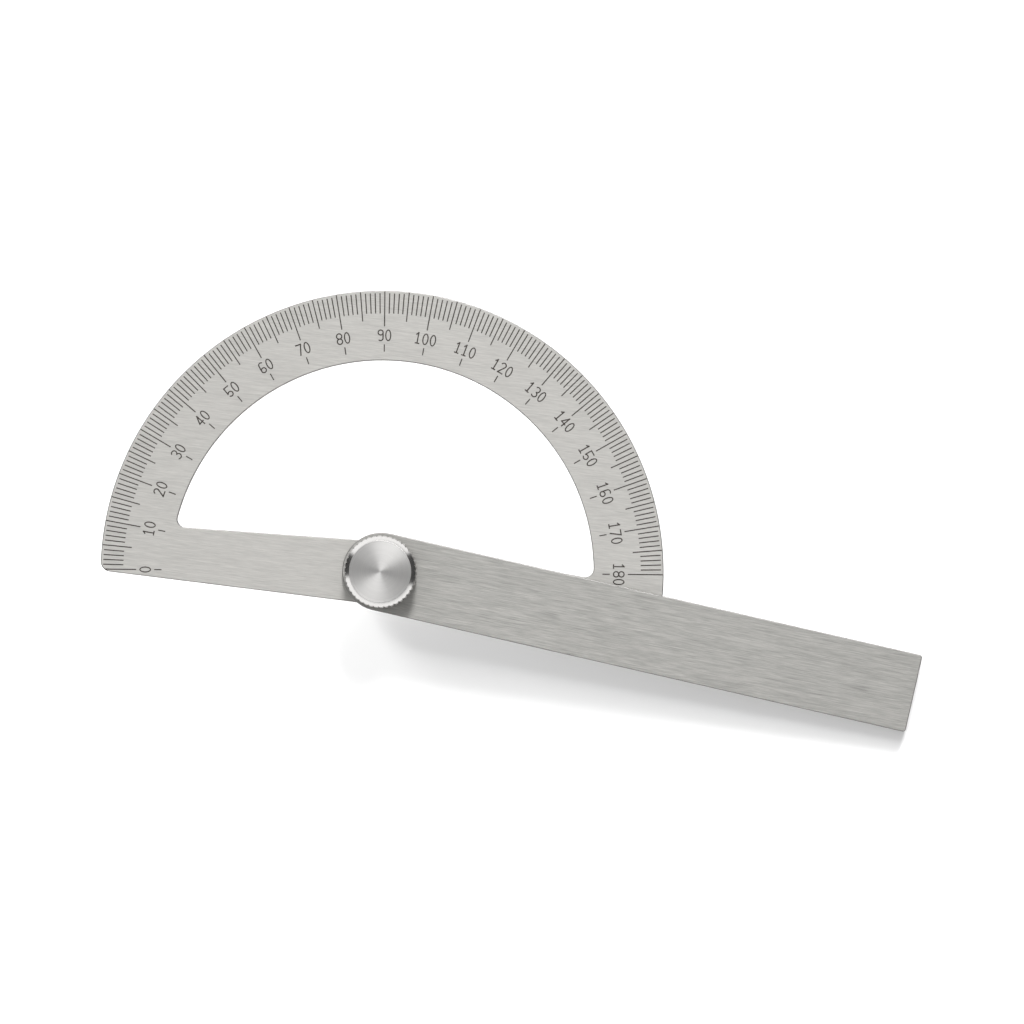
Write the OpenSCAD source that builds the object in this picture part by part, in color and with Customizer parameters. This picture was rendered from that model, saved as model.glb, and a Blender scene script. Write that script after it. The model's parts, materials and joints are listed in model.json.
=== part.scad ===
// Angle finder: a half-round stainless scale plate with an open window, one straight
// arm that swings about the plate's centre, and a knurled knob that locks the arm.
// Millimetres. The origin is on the pivot axis, on the back of the pivot stud's head.
// +Z points out of the graduated face, +X runs along the straight edge, +Y to the arc.

/* [Scale plate] */
// Radius of the graduated outer arc, from the pivot axis
arc_r = 50; // [47:1:70]
// Width of the graduated ring
ring_w = 12.4; // [12:0.1:16]
// Distance from the pivot axis down to the straight edge
base_drop = 5.9; // [5.5:0.1:9]
// Distance from the pivot axis up to the top of the crossbar
bar_rise = 5.4; // [4.8:0.1:6.5]
// Fall of the crossbar's upper edge to each side, in degrees
bar_slope = 3; // [0:0.25:4]
// Thickness of the plate
plate_t = 1; // [0.7:0.1:2]
// Rounding of the two outer corners
corner_r = 1.8; // [0.5:0.1:2.5]
// Rounding of the two lower corners of the window
window_r = 1.5; // [0.5:0.1:4]

/* [Degree scale] */
// Turn of the whole scale about the pivot, counter-clockwise, in degrees
scale_turn = 6.5; // [0:0.5:6.5]
// Plain rim between the arc and the outer ends of the five and ten degree lines
rim = 0.15; // [0.1:0.05:0.6]
// Plain rim between the arc and the outer ends of the one degree lines
one_rim = 0.45; // [0.15:0.05:0.8]
// Length of a one degree line
one_line = 3.6; // [2:0.1:4]
// Length of a five degree line
five_line = 5.2; // [4:0.1:5.5]
// Length of a ten degree line
ten_line = 6.2; // [5.5:0.1:6.5]
// Length of the short lines inside the numerals
inner_line = 1.3; // [0.6:0.1:1.6]
// Space between the numerals and the lines on both sides of them
numeral_clear = 0.55; // [0.3:0.05:0.8]
// Width of every line of the scale
line_w = 0.2; // [0.12:0.01:0.26]
// Depth that the scale is etched
etch_depth = 0.08; // [0.05:0.01:0.15]
// Distance that the dark fill stays below the plate's face
fill_recess = 0.02; // [0.01:0.01:0.03]
// Height of a numeral
numeral_h = 2.1; // [1.6:0.1:2.4]
// Width of a numeral
numeral_w = 1.1; // [0.9:0.05:1.3]
// Space between two numerals
numeral_gap = 0.26; // [0.15:0.01:0.4]
// Width of a numeral's stroke
stroke_w = 0.22; // [0.1:0.01:0.25]

/* [Swing arm] */
// Width of the arm
arm_w = 13.9; // [12:0.1:18]
// Distance from the pivot axis to the arm's square end
arm_reach = 96.6; // [70:0.1:150]
// Thickness of the arm
arm_t = 1; // [0.7:0.1:2]
// Rounding of the two corners at the square end
arm_tip_r = 0.5; // [0.2:0.1:3]
// Angle between the arm and the straight edge as drawn, in degrees
arm_rest = 5.8; // [0:0.1:10]

/* [Pivot stud] */
// Diameter of the low head behind the plate
head_d = 9; // [8:0.5:11]
// Height of the head
head_t = 1.2; // [0.8:0.1:3]
// Chamfer round the back of the head
head_chamfer = 0.3; // [0.1:0.05:0.5]
// Diameter of the neck that sits in the plate
neck_d = 6; // [5.8:0.1:6.5]
// Width of the neck across its two flats
neck_flat_w = 5.2; // [5.1:0.1:5.6]
// Diameter of the journal that the arm turns on
journal_d = 5; // [4.6:0.1:5]
// Diameter of the thread
thread_d = 4; // [3:0.5:4.5]

/* [Washers] */
// Outer diameter of the friction washer between plate and arm
friction_d = 10.6; // [8:0.1:12]
// Thickness of the friction washer
friction_t = 0.3; // [0.2:0.05:0.6]
// Outer diameter of the spring washer on the arm
spring_d = 9.6; // [8:0.1:10]
// Thickness of the spring washer's sheet
spring_t = 0.2; // [0.15:0.01:0.3]
// Height of the spring washer, dish included
spring_h = 0.42; // [0.35:0.01:0.6]
// Outer diameter of the washer held under the knob
collar_d = 10.2; // [9.5:0.1:11.5]
// Thickness of the washer held under the knob
collar_t = 0.8; // [0.7:0.05:1.2]

/* [Lock knob] */
// Diameter over the knurling
knob_d = 12.8; // [12:0.1:16]
// Height of the knob above its washer
knob_h = 4; // [3.5:0.1:7]
// Diameter of the flat turned face on top
knob_face_d = 10.9; // [9:0.1:11]
// Height of the chamfer round the top
knob_bevel = 0.6; // [0.3:0.1:1]
// Chamfer round the bottom
knob_foot = 0.4; // [0.2:0.1:0.8]
// Number of grooves in the knurling
knurl_count = 42; // [30:1:48]
// Depth of the knurling
knurl_depth = 0.32; // [0.15:0.01:0.4]
// Solid metal above the blind thread
knob_roof = 1; // [0.8:0.1:2]
// Diameter of the spigot that holds the washer
spigot_d = 6; // [5.6:0.1:6.4]
// Width of the rolled lip that keeps the washer on the spigot
lip_w = 0.5; // [0.3:0.05:0.6]
// Height of the rolled lip
lip_h = 0.2; // [0.15:0.05:0.25]

/* [Clearances] */
// Radial play of everything that turns or screws
turn_play = 0.05; // [0.02:0.01:0.08]
// Axial play between flat faces that slide on each other
face_play = 0.03; // [0.01:0.01:0.06]
// Radial play of a washer round the stud
washer_play = 0.15; // [0.1:0.05:0.3]
// Set-back of the journal below the flattened spring washer, so that the knob can clamp
clamp_reserve = 0.1; // [0.05:0.05:0.2]
// Free space past the end of the thread and of the rolled lip
end_space = 0.1; // [0.05:0.05:0.2]

/* [Hidden] */
$fn = 96;
over = 1;
// A rounding runs this far past the edges that it joins, so that they cross it
run_past = 0.004;

STEEL = [0.77, 0.77, 0.76];
ARM_STEEL = [0.70, 0.69, 0.68];
TURNED_STEEL = [0.84, 0.84, 0.83];
FILL = [0.28, 0.25, 0.24];
FIBRE = [0.42, 0.30, 0.20];

// Heights of the stack on the stud, from the back of its head
plate_z = head_t;
face_z = plate_z + plate_t;
arm_z = face_z + friction_t + face_play;
arm_top_z = arm_z + arm_t;
journal_top_z = arm_top_z + spring_t - clamp_reserve;
collar_z = arm_top_z + spring_h + face_play;
knob_z = collar_z + collar_t + face_play;
knob_top_z = knob_z + knob_h;
bore_top_z = knob_top_z - knob_roof;
thread_top_z = bore_top_z - end_space;

// The ring and the scale
window_arc_r = arc_r - ring_w;
line_out_r = arc_r - rim;
numeral_r = line_out_r - ten_line - numeral_clear - numeral_h;
inner_out_r = numeral_r - numeral_clear;
fill_t = etch_depth - fill_recess;
full_scale = 180;

// Centre lines of a numeral's strokes, from the middle of its foot
side = (numeral_w - stroke_w) / 2;
foot = stroke_w / 2;
top = numeral_h - stroke_w / 2;
loop_r = (top - foot) / 4;

// The flag and foot of a 1, the crossing of a 4, and where the legs of a 4 and 7 stand
flag_share = 0.7;
knee_share = 0.3;
leg_4_share = 0.5;
leg_7_share = -0.25;

// Corners round the oval of a 0
oval_corners = 24;

// Where the open bows of the numerals stop, in degrees
bow_open = 30;
hook_open = 10;

// The polar angle of a value on the scale
function scale_angle(value) = full_scale + scale_turn - value;

function digits(value) =
    value < 10 ? [value] : concat(digits(floor(value / 10)), [value % 10]);

// Half the width of a circle of radius r at a height y
function half_chord(r, y) = sqrt(r * r - y * y);

// What rounding takes off a corner between two edges: the wedge outwards from the
// rounding circle's centre, square to both edges, less the circle.
module corner_loss(centre, r, side_a, side_b) {
    far = 2 * arc_r;
    difference() {
        polygon([centre, centre + far * side_a, centre + far * (side_a + side_b),
                 centre + far * side_b]);
        translate(centre) circle(r = r);
    }
}

// What lies past the straight edge and its two rounded corners, and within a margin of them
module past_base(margin) {
    inset = corner_r - run_past;
    centre = [half_chord(arc_r - inset, base_drop - inset), inset - base_drop];
    translate([-arc_r - over, -base_drop - arc_r])
        square([2 * (arc_r + over), arc_r + margin]);
    for (flip = [0, 1])
        mirror([flip, 0])
            corner_loss(centre, max(corner_r - margin, run_past), [0, -1],
                        centre / norm(centre));
}

module plate_outline() {
    difference() {
        circle(r = arc_r, $fn = 360);
        past_base(0);
    }
}

// The crossbar's upper edge falls away from the pivot to both sides, and each lower
// corner of the window is rounded into that edge and the window's arc.
module window_outline() {
    inset = window_r - run_past;
    fall = tan(bar_slope);
    reach = window_arc_r - inset;
    rise = bar_rise + inset / cos(bar_slope);
    steep = 1 + fall * fall;
    centre_x = (rise * fall + sqrt(rise * rise * fall * fall
                - steep * (rise * rise - reach * reach))) / steep;
    centre = [centre_x, rise - centre_x * fall];
    far = arc_r + over;
    difference() {
        circle(r = window_arc_r, $fn = 360);
        polygon([[-far, -far], [-far, bar_rise - far * fall], [0, bar_rise],
                 [far, bar_rise - far * fall], [far, -far]]);
        for (flip = [0, 1])
            mirror([flip, 0])
                corner_loss(centre, window_r, -[sin(bar_slope), cos(bar_slope)],
                            centre / norm(centre));
    }
}

module neck_outline(play) {
    intersection() {
        circle(d = neck_d + 2 * play);
        square([neck_d + 2 * over, neck_flat_w + 2 * play], center = true);
    }
}

module radial_line(value, r_out, length) {
    rotate(scale_angle(value))
        translate([r_out - length, -line_w / 2]) square([length, line_w]);
}

// All lines of the scale. Where the first one meets the rounded corner, it ends there.
module lines_outline() {
    difference() {
        for (value = [0 : 1 : full_scale])
            if (value % 10 == 0) {
                radial_line(value, line_out_r, ten_line);
                radial_line(value, inner_out_r, inner_line);
            } else if (value % 5 == 0) {
                radial_line(value, line_out_r, five_line);
            } else {
                radial_line(value, arc_r - one_rim, one_line);
            }
        past_base(rim);
    }
}

// A straight stroke of a numeral, from one point of its centre line to another
module stroke(from, to) {
    run = to - from;
    translate(from) rotate(atan2(run[1], run[0])) translate([-stroke_w / 2, -stroke_w / 2])
        square([norm(run) + stroke_w, stroke_w]);
}

// A curved stroke about a point at a height y on the numeral's middle line
module bow(y, r, from, to) {
    steps = ceil((to - from) / 60);
    reach = 2 * (r + stroke_w);
    translate([0, y]) intersection() {
        difference() {
            circle(r = r + stroke_w / 2, $fn = 32);
            circle(r = r - stroke_w / 2, $fn = 32);
        }
        polygon(concat([[0, 0]], [for (i = [0 : steps])
            let (a = from + (to - from) * i / steps) reach * [cos(a), sin(a)]]));
    }
}

module oval(half_w, half_h) {
    polygon([for (i = [0 : oval_corners - 1])
        let (a = 360 * i / oval_corners) [half_w * cos(a), half_h * sin(a)]]);
}

module numeral_0() {
    translate([0, numeral_h / 2]) difference() {
        oval(numeral_w / 2, numeral_h / 2);
        oval(numeral_w / 2 - stroke_w, numeral_h / 2 - stroke_w);
    }
}

module numeral_1() {
    flag = side * flag_share;
    stroke([0, foot], [0, top]);
    stroke([-flag, top - flag], [0, top]);
    stroke([-flag, foot], [flag, foot]);
}

module numeral_2() {
    bow(top - side, side, -bow_open, 180 - hook_open);
    stroke([side * cos(bow_open), top - side * (1 + sin(bow_open))], [-side, foot]);
    stroke([-side, foot], [side, foot]);
}

module numeral_3() {
    bow(top - loop_r, loop_r, -90, 180 - bow_open);
    bow(foot + loop_r, loop_r, bow_open - 180, 90);
}

module numeral_4() {
    knee = foot + knee_share * (top - foot);
    leg = side * leg_4_share;
    stroke([leg, foot], [leg, top]);
    stroke([leg, top], [-side, knee]);
    stroke([-side, knee], [side, knee]);
}

module numeral_5() {
    waist = foot + side * (1 + sin(bow_open));
    stroke([-side, top], [side, top]);
    stroke([-side, waist], [-side, top]);
    bow(foot + side, side, bow_open - 180, 180 - bow_open);
}

module numeral_6() {
    bow(foot + side, side, 0, 180);
    bow(foot + side, side, 180, 360);
    stroke([-side, foot + side], [-side, top - side]);
    bow(top - side, side, bow_open + hook_open, 180);
}

module numeral_7() {
    stroke([-side, top], [side, top]);
    stroke([side, top], [side * leg_7_share, foot]);
}

module numeral_8() {
    for (y = [foot + loop_r, top - loop_r]) {
        bow(y, loop_r, 0, 180);
        bow(y, loop_r, 180, 360);
    }
}

module numeral_9() {
    translate([0, numeral_h]) rotate(180) numeral_6();
}

module numeral(digit) {
    if (digit == 0) numeral_0();
    if (digit == 1) numeral_1();
    if (digit == 2) numeral_2();
    if (digit == 3) numeral_3();
    if (digit == 4) numeral_4();
    if (digit == 5) numeral_5();
    if (digit == 6) numeral_6();
    if (digit == 7) numeral_7();
    if (digit == 8) numeral_8();
    if (digit == 9) numeral_9();
}

module numerals_outline() {
    pitch = numeral_w + numeral_gap;
    for (value = [0 : 10 : full_scale]) {
        row = digits(value);
        middle = (len(row) - 1) / 2;
        rotate(scale_angle(value) - 90)
            for (i = [0 : len(row) - 1])
                translate([(i - middle) * pitch, numeral_r]) numeral(row[i]);
    }
}

// Takes its outline to a depth below the plate's face
module etched(depth, height) {
    translate([0, 0, face_z - depth]) linear_extrude(height) children();
}

module scale_plate() {
    color(STEEL) difference() {
        translate([0, 0, plate_z]) linear_extrude(plate_t) difference() {
            plate_outline();
            window_outline();
        }
        translate([0, 0, plate_z - over]) linear_extrude(plate_t + 2 * over)
            neck_outline(turn_play);
        etched(etch_depth, etch_depth + over) {
            lines_outline();
            numerals_outline();
        }
    }
}

module degree_lines() {
    color(FILL) etched(etch_depth, fill_t) lines_outline();
}

module degree_numerals() {
    color(FILL) etched(etch_depth, fill_t) numerals_outline();
}

// The low head lies behind the plate, the flats on the neck keep the stud from turning,
// and the threaded end is as large as the thread's nominal diameter.
module pivot_stud() {
    head_r = head_d / 2;
    color(STEEL) {
        rotate_extrude() polygon([
            [0, 0], [head_r - head_chamfer, 0], [head_r, head_chamfer],
            [head_r, head_t], [0, head_t]]);
        translate([0, 0, head_t]) linear_extrude(plate_t) neck_outline(0);
        translate([0, 0, face_z]) cylinder(d = journal_d, h = journal_top_z - face_z);
        translate([0, 0, journal_top_z])
            cylinder(d = thread_d, h = thread_top_z - journal_top_z);
    }
}

module flat_washer(outer_d, bore_d, thick) {
    linear_extrude(thick) difference() {
        circle(d = outer_d);
        circle(d = bore_d);
    }
}

module friction_washer() {
    color(FIBRE) translate([0, 0, face_z])
        flat_washer(friction_d, journal_d + 2 * washer_play, friction_t);
}

module arm_outline() {
    half = arm_w / 2;
    corner = [arm_reach - arm_tip_r, half - arm_tip_r];
    difference() {
        union() {
            circle(r = half);
            translate([0, -half]) square([corner[0], arm_w]);
            translate([0, -corner[1]]) square([arm_reach, 2 * corner[1]]);
            for (y = [-corner[1], corner[1]])
                translate([corner[0], y]) circle(r = arm_tip_r);
        }
        circle(d = journal_d + 2 * turn_play);
    }
}

module swing_arm() {
    color(ARM_STEEL) translate([0, 0, arm_z]) rotate(-arm_rest)
        linear_extrude(arm_t) arm_outline();
}

// A dished ring: its inner rim stands on the arm, centred on the journal, and its outer
// rim carries the knob's washer.
module spring_washer() {
    outer_r = spring_d / 2;
    bore_r = journal_d / 2 + washer_play;
    color(TURNED_STEEL) translate([0, 0, arm_top_z]) rotate_extrude() polygon([
        [bore_r, 0], [bore_r + spring_t, 0], [outer_r, spring_h - spring_t],
        [outer_r, spring_h], [outer_r - spring_t, spring_h], [bore_r, spring_t]]);
}

// The washer under the knob: a step in its underside takes the knob's rolled lip, so it
// lifts with the knob and stays still while the knob turns.
module knob_washer() {
    outer_r = collar_d / 2;
    hold_r = spigot_d / 2 + turn_play;
    step_r = hold_r + lip_w;
    step_h = lip_h + face_play + end_space;
    color(TURNED_STEEL) translate([0, 0, collar_z]) rotate_extrude() polygon([
        [step_r, 0], [outer_r, 0], [outer_r, collar_t], [hold_r, collar_t],
        [hold_r, step_h], [step_r, step_h]]);
}

// The knob turns on the stud's thread. Its spigot passes through the washer, and the
// rolled lip at the spigot's end holds the washer on.
module knob_profile() {
    edge_r = knob_d / 2;
    spigot_r = spigot_d / 2;
    lip_r = spigot_r + lip_w;
    lip_z = collar_z + end_space;
    bore_r = thread_d / 2 + turn_play;
    polygon([
        [bore_r, lip_z], [lip_r, lip_z], [lip_r, lip_z + lip_h], [spigot_r, lip_z + lip_h],
        [spigot_r, knob_z], [edge_r - knob_foot, knob_z], [edge_r, knob_z + knob_foot],
        [edge_r, knob_top_z - knob_bevel], [knob_face_d / 2, knob_top_z],
        [0, knob_top_z], [0, bore_top_z], [bore_r, bore_top_z]]);
}

module lock_knob() {
    color(TURNED_STEEL) difference() {
        rotate_extrude() knob_profile();
        for (i = [0 : knurl_count - 1])
            rotate(i * 360 / knurl_count)
                translate([knob_d / 2, 0, knob_z - over])
                    linear_extrude(knob_h + 2 * over) circle(r = knurl_depth, $fn = 4);
    }
}

scale_plate();
degree_lines();
degree_numerals();
pivot_stud();
friction_washer();
swing_arm();
spring_washer();
knob_washer();
lock_knob();
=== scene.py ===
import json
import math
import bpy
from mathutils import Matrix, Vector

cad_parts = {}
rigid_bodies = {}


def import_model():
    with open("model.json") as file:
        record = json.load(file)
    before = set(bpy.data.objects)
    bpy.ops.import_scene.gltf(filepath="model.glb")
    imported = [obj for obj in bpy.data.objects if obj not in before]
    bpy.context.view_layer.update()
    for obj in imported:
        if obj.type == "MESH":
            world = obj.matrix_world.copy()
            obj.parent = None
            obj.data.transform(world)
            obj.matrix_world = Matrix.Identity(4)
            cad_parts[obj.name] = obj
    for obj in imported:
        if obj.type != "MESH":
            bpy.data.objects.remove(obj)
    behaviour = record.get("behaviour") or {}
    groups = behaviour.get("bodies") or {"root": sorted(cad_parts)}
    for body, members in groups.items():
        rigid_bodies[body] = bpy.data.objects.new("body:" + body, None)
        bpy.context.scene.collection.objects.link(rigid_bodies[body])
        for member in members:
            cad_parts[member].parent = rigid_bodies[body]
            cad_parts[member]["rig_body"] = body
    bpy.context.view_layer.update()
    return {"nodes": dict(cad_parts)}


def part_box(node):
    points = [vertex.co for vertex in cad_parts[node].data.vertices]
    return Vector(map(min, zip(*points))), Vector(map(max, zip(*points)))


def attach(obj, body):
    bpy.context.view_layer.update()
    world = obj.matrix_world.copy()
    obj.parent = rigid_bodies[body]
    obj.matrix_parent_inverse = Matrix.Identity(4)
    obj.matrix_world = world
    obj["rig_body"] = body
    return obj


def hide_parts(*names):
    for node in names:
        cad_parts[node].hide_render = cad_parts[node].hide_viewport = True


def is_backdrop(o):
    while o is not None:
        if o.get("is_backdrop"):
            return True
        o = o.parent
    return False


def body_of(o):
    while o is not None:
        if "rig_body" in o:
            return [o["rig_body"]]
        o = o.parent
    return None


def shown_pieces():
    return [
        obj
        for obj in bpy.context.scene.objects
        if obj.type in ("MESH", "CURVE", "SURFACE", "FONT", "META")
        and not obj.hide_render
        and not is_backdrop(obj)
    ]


bl_info = {
    "name": "Angle finder",
    "version": (1, 0, 0),
    "blender": (4, 5, 0),
    "location": "View3D > Sidebar > Angle finder",
    "description": "Builds the pieces, finishes, light and stage of a steel angle finder",
    "category": "Object",
}

import bmesh
import bpy
from bpy.props import FloatProperty, FloatVectorProperty, IntProperty, PointerProperty
from mathutils import Matrix, Vector

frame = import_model()

MM = 0.001
SCALE_NODES = ("degree_lines", "degree_numerals")
# Vertices closer than this are one vertex
WELD = 1e-7
# A cutter runs this far past the faces that it goes through
OVERRUN = 0.1 * MM
# Two faces that meet at more than this angle have a sharp edge between them
SHARP = math.radians(24)
# Faces smooth into each other up to this angle
SMOOTH = math.radians(40)
# A face counts as level when its normal's Z is past this
LEVEL = 0.999
# The knob's face and its bevel have normals with a Z past these
FACE_LEAN, BEVEL_LEAN = 0.98, 0.3
# The values that a noise mostly takes
NOISE_RANGE = (0.3, 0.7)
# Size of the specks in the etched fill and of the marks on cut edges
SPECK = 1 / 9000
# Size of the hairs in the pressed fibre
HAIR = 1 / 7000
# Painted shade in the knurling's grooves: their darkest tone against the crests
GROOVE_SHADE_TONE = 0.55
# How far brushing stretches the sheets' highlights
BRUSHED_STRETCH = 0.62
# A quarter of a turn, as the shader counts turns
QUARTER_TURN = 0.25
# Steps round a bore or a washer
ROUND_STEPS = 96
# Steps along the plate's arcs, its corners and its straight runs
ARC_STEPS, CORNER_STEPS, BAR_STEPS = 240, 8, 40
# Steps along the arm's round end and the corners of its square end
END_STEPS, TIP_STEPS = 72, 6
# Segments across a sheet's rounded edges, and across a turned piece's
SHEET_SEGMENTS, TURNED_SEGMENTS = 3, 2
# Mesh steps along the thread in one turn, and round it
THREAD_RUNS, THREAD_STEPS = 8, 72
# Flags, skirt and soft box of the sky: azimuth, half width and soft border in degrees,
# and the heights that they stand between
RIGHT_FLAG = (84, 29, 5)
LEFT_FLAG = (282, 19, 5)
FLAG_HEIGHTS = (-0.3, 0.72)
SKIRT = (180, 70, 12)
SKIRT_HEIGHTS = (-0.3, 0.24)
SOFT_BOX = (312, 42, 26)
# Light from the ground, on matt faces and in reflections
GROUND_LEVELS = (0.85, 1.0)


# Settings


def length(name, text, value):
    return FloatProperty(name=name, description=text, default=value, min=0, unit="LENGTH",
                         precision=5)


def angle(name, text, degrees):
    return FloatProperty(name=name, description=text, default=math.radians(degrees),
                         subtype="ANGLE")


def level_of(name, text, value):
    return FloatProperty(name=name, description=text, default=value, min=0)


def colour(name, text, value):
    return FloatVectorProperty(name=name, description=text, default=value, size=3,
                               subtype="COLOR", min=0, max=1)


def light_settings(key, name, strength, height, azimuth, softness):
    """The settings of one light, as annotations for a property group."""
    return {
        f"{key}_strength": level_of(f"{name} strength", "Strength of this light", strength),
        f"{key}_height": angle(f"{name} height", "Height above the floor", height),
        f"{key}_azimuth": angle(f"{name} azimuth", "Clockwise from the picture's top",
                                azimuth),
        f"{key}_softness": angle(f"{name} softness", "Apparent size of this light",
                                 softness)}


class PlateSettings(bpy.types.PropertyGroup):
    arc_radius: length("Arc radius", "Radius of the graduated arc", 50 * MM)
    ring_width: length("Ring width", "Width of the graduated ring", 12.4 * MM)
    base_drop: length("Base drop", "From the pivot down to the straight edge", 5.9 * MM)
    bar_rise: length("Bar rise", "From the pivot up to the top of the crossbar", 5.4 * MM)
    bar_slope: angle("Bar slope", "Fall of the crossbar's upper edge to each side", 3)
    corner_radius: length("Corner radius", "Rounding of the outer corners", 1.8 * MM)
    window_radius: length("Window radius", "Rounding of the window's lower corners", 1.5 * MM)
    edge_round: length("Edge rounding", "Rounding of the sheet's edges", 0.14 * MM)
    hole_radius: length("Hole radius", "Radius of the hole for the stud's neck", 3.05 * MM)
    hole_flat: length("Hole flat", "From the pivot to the hole's flats", 2.65 * MM)


class ArmSettings(bpy.types.PropertyGroup):
    width: length("Width", "Width of the arm", 13.9 * MM)
    reach: length("Reach", "From the pivot to the square end", 96.6 * MM)
    tip_radius: length("Tip radius", "Rounding of the corners at the square end", 0.5 * MM)
    edge_round: length("Edge rounding", "Rounding of the sheet's edges", 0.14 * MM)
    bore_radius: length("Bore radius", "Radius of the bore at the pivot", 2.55 * MM)
    rest: angle("Rest angle", "Angle of the arm below the straight edge", 5.8)
    grain_turn: angle("Grain turn", "Angle between the arm's edges and its grain", 2.3)


class StudSettings(bpy.types.PropertyGroup):
    head_radius: length("Head radius", "Radius of the head behind the plate", 4.5 * MM)
    head_height: length("Head height", "Height of the head", 1.2 * MM)
    head_chamfer: length("Head chamfer", "Chamfer round the back of the head", 0.3 * MM)
    head_round: length("Head rounding", "Rounding of the head's edges", 0.08 * MM)
    neck_radius: length("Neck radius", "Radius of the neck in the plate", 3 * MM)
    neck_flat: length("Neck flat", "From the axis to the neck's flats", 2.6 * MM)
    journal_radius: length("Journal radius", "Radius of the journal in the arm", 2.5 * MM)
    journal_top: length("Journal top", "Height where the thread begins", 3.63 * MM)
    thread_radius: length("Thread radius", "Radius over the thread's crests", 2 * MM)
    thread_depth: length("Thread depth", "Depth of the thread", 0.42 * MM)
    thread_pitch: length("Thread pitch", "Rise of the thread in one turn", 0.7 * MM)


class WasherSettings(bpy.types.PropertyGroup):
    friction_bore: length("Friction washer's bore", "Inner radius", 2.65 * MM)
    spring_bore: length("Spring washer's bore", "Inner radius", 2.65 * MM)
    spring_sheet: length("Spring washer's sheet", "Thickness of the sheet", 0.2 * MM)
    held_bore: length("Knob washer's bore", "Radius round the spigot", 3.05 * MM)
    held_step: length("Knob washer's step", "Radius of the step round the lip", 3.55 * MM)
    held_step_height: length("Knob washer's step height", "Height of the step", 0.33 * MM)
    edge_round: length("Edge rounding", "Rounding of the washers' edges", 0.05 * MM)


class KnobSettings(bpy.types.PropertyGroup):
    radius: length("Radius", "Radius over the knurling", 6.4 * MM)
    body_height: length("Body height", "Height of the knob above its washer", 4 * MM)
    face_radius: length("Face radius", "Radius of the turned face", 5.45 * MM)
    face_round: length("Face rounding", "Rounding of the turned face's edge", 0.05 * MM)
    bevel_height: length("Bevel height", "Height of the bevel round the face", 0.6 * MM)
    foot: length("Foot", "Chamfer round the bottom", 0.4 * MM)
    knurl_depth: length("Knurl depth", "Depth of the knurling's grooves", 0.32 * MM)
    tip_wear: length("Tip wear", "Rough outer part of the crests' tops", 0.17 * MM)
    knurl_count: IntProperty(name="Knurl count", description="Number of grooves",
                             default=42, min=8, max=80)
    groove_steps: IntProperty(name="Steps in a groove's pitch", default=12, min=8, max=24,
                              description="Mesh steps from one groove to the next")
    spigot_radius: length("Spigot radius", "Radius of the spigot in the washer", 3 * MM)
    lip_radius: length("Lip radius", "Radius of the lip that holds the washer", 3.5 * MM)
    lip_height: length("Lip height", "Height of the lip", 0.2 * MM)
    bore_radius: length("Bore radius", "Radius of the blind bore", 2.05 * MM)
    centre_mark: length("Centre mark", "Radius of the innermost faces", 0.3 * MM)
    roof: length("Roof", "Metal above the blind bore", 1 * MM)
    ring_radius: length("Ring radius", "Radius of the fine ring turned in the face", 5.2 * MM)
    ring_width: length("Ring width", "Width of that ring", 0.1 * MM)
    ring_depth: length("Ring depth", "Depth of that ring", 0.006 * MM)


class FinishSettings(bpy.types.PropertyGroup):
    plate: colour("Plate steel", "Brushed steel of the plate", (0.59, 0.58, 0.557))
    arm: colour("Arm steel", "Brushed steel of the arm", (0.487, 0.481, 0.461))
    # The cut edges' colour is partly the duller sheared steel and partly painted shade that
    # darkens the sheets' rounded edges
    edge: colour("Cut edge", "Cut edges of the sheets", (0.31, 0.303, 0.293))
    fill: colour("Etched fill", "Dark fill of the scale", (0.068, 0.057, 0.051))
    knob: colour("Knob steel", "Turned steel of the knob", (0.7, 0.692, 0.68))
    bevel: colour("Bevel steel", "Bevel round the knob's face", (0.8, 0.788, 0.772))
    knurl: colour("Knurl steel", "Knurled side of the knob", (0.66, 0.645, 0.625))
    stud: colour("Stud steel", "Turned steel of the stud", (0.56, 0.55, 0.53))
    washer: colour("Washer steel", "Steel of the washers", (0.58, 0.57, 0.56))
    fibre: colour("Fibre", "Friction washer", (0.2, 0.105, 0.055))


class StageSettings(bpy.types.PropertyGroup):
    camera_place: FloatVectorProperty(
        name="Camera place", description="Where the camera stands", size=3, unit="LENGTH",
        default=(0.032879, -0.001906, 0.712029))
    camera_turn: FloatVectorProperty(
        name="Camera turn", description="Turn of the camera about X, Y and Z", size=3,
        subtype="EULER", default=(0.02335956, 0.01307314, 0.12380046))
    camera_lens: FloatProperty(name="Camera lens", description="Focal length", min=1,
                               default=140.663, unit="CAMERA")
    floor_size: length("Floor size", "Side of the floor", 6)
    floor_tilt: angle("Floor tilt", "The tool leans on its stud's head and arm", 1.5)
    floor_touch: length("Floor touch", "Where the floor meets the head's rim", 4.2 * MM)
    dome_level: level_of("Dome level", "Light from high up", 0.43)
    wall_level: level_of("Wall level", "Light from the walls", 1.12)
    wall_foot: level_of("Wall foot", "Light from the walls' feet", 0.6)
    flag_level: level_of("Flag level", "Light from the dark flags", 0.06)
    skirt_level: level_of("Skirt level", "Light from low at the picture's bottom", 0.25)
    box_level: level_of("Box level", "Light from the box high up at the left", 0.36)
    floor_glow: level_of("Floor glow", "White that the floor shows the camera", 0.12)
    # On the sheets, on the knob, and two low ones on the floor for the arm's shadow
    __annotations__.update(
        light_settings("key", "Key", 1.34, 45, 7, 12)
        | light_settings("knob", "Knob light", 0.7, 64, 18, 36)
        | light_settings("floor", "Floor light", 5.3, 11.1, 318, 22)
        | light_settings("second", "Second floor light", 10.4, 11.4, 12, 16))


# Meshes


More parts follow.
